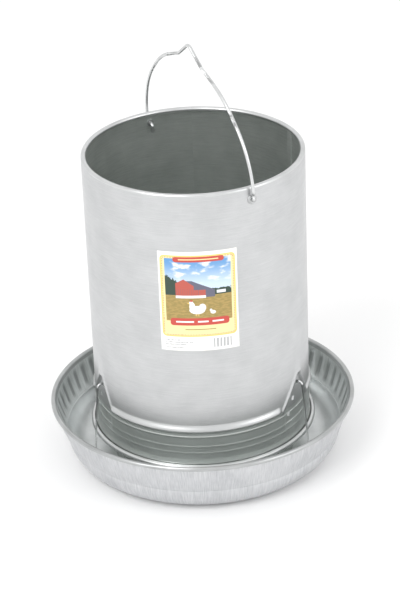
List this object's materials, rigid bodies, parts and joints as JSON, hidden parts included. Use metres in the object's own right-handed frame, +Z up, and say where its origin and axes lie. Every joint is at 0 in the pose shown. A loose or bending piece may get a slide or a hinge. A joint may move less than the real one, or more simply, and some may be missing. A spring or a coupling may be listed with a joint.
{
  "type": "gravity poultry feeder",
  "caption": "Hanging gravity poultry feeder: open galvanised feed tube over a wide round-bottomed pan, height set by hook wires, with a wire bail.",
  "frame": {"origin": "middle of the pan's underside, on the surface that the feeder stands on", "axes": "+Z up along the feed tube, -Y towards the labelled front, +X to the right as seen from the front"},
  "size_m": [0.3556, 0.3556, 0.502],
  "materials": {
    "galvanised_sheet": "satin",
    "galvanised_wire": "satin",
    "printed_paper": "matte"
  },
  "bodies": {
    "pan": {"feed_pan": "galvanised_sheet", "feed_cone": "galvanised_sheet", "hook_strap_left": "galvanised_sheet", "hook_strap_right": "galvanised_sheet", "hook_strap_back": "galvanised_sheet"},
    "tube": {"feed_tube": "galvanised_sheet", "tube_label": "printed_paper", "bail_eyelet_front": "galvanised_wire", "bail_eyelet_back": "galvanised_wire"},
    "bail": {"bail_handle": "galvanised_wire"},
    "hook_left": {"hook_wire_left": "galvanised_wire"},
    "hook_right": {"hook_wire_right": "galvanised_wire"},
    "hook_back": {"hook_wire_back": "galvanised_wire"}
  },
  "joints": [
    {"name": "tube_lift", "type": "slide", "parent": "pan", "child": "tube", "axis": [0, 0, 1], "range_m": [0, 0.022]},
    {"name": "bail_swing", "type": "hinge", "parent": "tube", "child": "bail", "pos_m": [0.00629, 0.00307, 0.364], "axis": [0.4384, -0.8988, 0], "range_deg": [-85, 66]},
    {"name": "hook_left_swing", "type": "hinge", "parent": "pan", "child": "hook_left", "pos_m": [-0.12499, -0.05305, 0.00646], "axis": [0.3907, -0.9205, 0], "range_deg": [0, 27.5]},
    {"name": "hook_right_swing", "type": "hinge", "parent": "pan", "child": "hook_right", "pos_m": [0.11876, -0.06583, 0.00646], "axis": [0.4848, 0.8746, 0], "range_deg": [0, 27.5]},
    {"name": "hook_back_swing", "type": "hinge", "parent": "pan", "child": "hook_back", "pos_m": [0.00711, 0.1356, 0.00646], "axis": [-0.9986, 0.0523, 0], "range_deg": [0, 27.5]}
  ],
  "couplings": [
    {"joint": "hook_left_swing", "follows": "tube_lift", "rad_per_m": 21.8},
    {"joint": "hook_right_swing", "follows": "tube_lift", "rad_per_m": 21.8},
    {"joint": "hook_back_swing", "follows": "tube_lift", "rad_per_m": 21.8}
  ]
}
